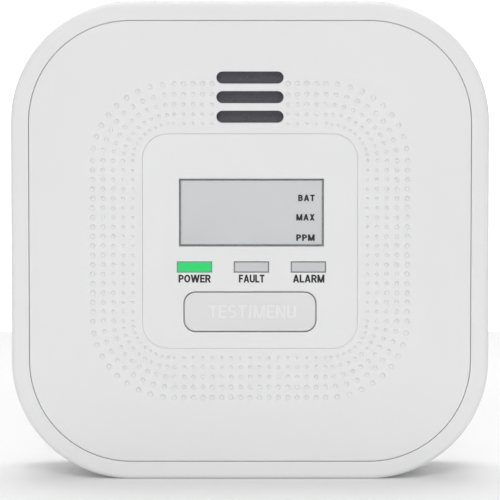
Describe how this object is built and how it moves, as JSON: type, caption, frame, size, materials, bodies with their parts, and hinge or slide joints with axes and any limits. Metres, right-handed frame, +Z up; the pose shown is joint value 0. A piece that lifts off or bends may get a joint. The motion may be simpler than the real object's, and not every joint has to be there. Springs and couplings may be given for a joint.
{
  "type": "carbon monoxide detector",
  "caption": "Rounded-square white gas detector with a display, status lamps, sounder slots, test button, hinged battery door and a slide-on wall plate.",
  "frame": {"origin": "middle of the footprint, on the surface that the casing stands on", "axes": "+X to the right seen from the front, +Y from the front to the wall, +Z up"},
  "size_m": [0.1, 0.036, 0.1],
  "materials": {
    "case_white": "moulded white plastic, fine spark texture",
    "panel_white": "smooth satin white plastic",
    "button_white": "satin white plastic, slightly greyer",
    "label_paper": "blank printed-film label",
    "clear_lens": "clear moulded lens",
    "lcd_grey": "grey liquid-crystal glass",
    "lamp_window_green": "translucent, lit green",
    "lamp_window_grey": "translucent, unlit",
    "black_plastic": "moulded black plastic",
    "white_nylon": "natural nylon",
    "elastomer": "layered conductive elastomer",
    "dark_felt": "dark dust felt",
    "board_green": "green solder mask on glass fibre",
    "chip_black": "moulded epoxy",
    "zinc_steel": "zinc-plated steel",
    "nickel_plate": "nickel-plated",
    "bare_aluminium": "drawn aluminium can",
    "copper_winding": "enamelled copper winding",
    "disc_brass": "rolled brass disc",
    "pale_ceramic": "fired ceramic",
    "battery_sleeve": "plain shrink sleeve on a steel can",
    "wire_red": "vinyl insulation",
    "wire_black": "vinyl insulation"
  },
  "bodies": {
    "casing": {"rear_housing": "case_white", "front_cover": "case_white", "housing_screws": "zinc_steel", "display_panel": "panel_white", "display_window": "clear_lens", "lcd_glass": "lcd_grey", "lcd_holder": "black_plastic", "zebra_strips": "elastomer", "main_board": "board_green", "board_screws": "zinc_steel", "switch_body": "black_plastic", "microcontroller": "chip_black", "chip_parts": "chip_black", "storage_capacitor": "bare_aluminium", "sounder_coil": "copper_winding", "sensor_can": "black_plastic", "sensor_cap": "nickel_plate", "sensor_pins": "nickel_plate", "sounder_mesh": "dark_felt", "sounder_housing": "black_plastic", "sounder_ring": "black_plastic", "piezo_plate": "disc_brass", "piezo_ceramic": "pale_ceramic", "sounder_lead_red": "wire_red", "sounder_lead_black": "wire_black", "battery_upper": "battery_sleeve", "battery_lower": "battery_sleeve", "battery_springs": "nickel_plate", "positive_contact": "nickel_plate", "negative_contact": "nickel_plate", "link_contact": "nickel_plate", "battery_lead_red": "wire_red", "battery_lead_black": "wire_black", "power_light_guide": "lamp_window_green", "power_lamp": "pale_ceramic", "fault_light_guide": "lamp_window_grey", "fault_lamp": "pale_ceramic", "alarm_light_guide": "lamp_window_grey", "alarm_lamp": "pale_ceramic"},
    "test_button": {"test_button": "button_white"},
    "switch_plunger": {"switch_plunger": "white_nylon"},
    "battery_door": {"battery_door": "case_white", "rating_label": "label_paper"},
    "wall_plate": {"wall_plate": "case_white"}
  },
  "joints": [
    {"name": "test_button_press", "type": "slide", "parent": "casing", "child": "test_button", "axis": [0, 1, 0], "range_m": [0, 0.0005], "stiffness_N_per_m": 3000, "springref_m": -0.0003},
    {"name": "switch_plunger_press", "type": "slide", "parent": "casing", "child": "switch_plunger", "axis": [0, 1, 0], "range_m": [0, 0.0005]},
    {"name": "battery_door_hinge", "type": "hinge", "parent": "casing", "child": "battery_door", "pos_m": [0, 0.0139, 0.0343], "axis": [-1, 0, 0], "range_deg": [0, 90]},
    {"name": "wall_plate_slide", "type": "slide", "parent": "casing", "child": "wall_plate", "axis": [0, 0, -1], "range_m": [0, 0.0075]}
  ],
  "couplings": [
    {"joint": "switch_plunger_press", "follows": "test_button_press", "ratio": 1}
  ]
}
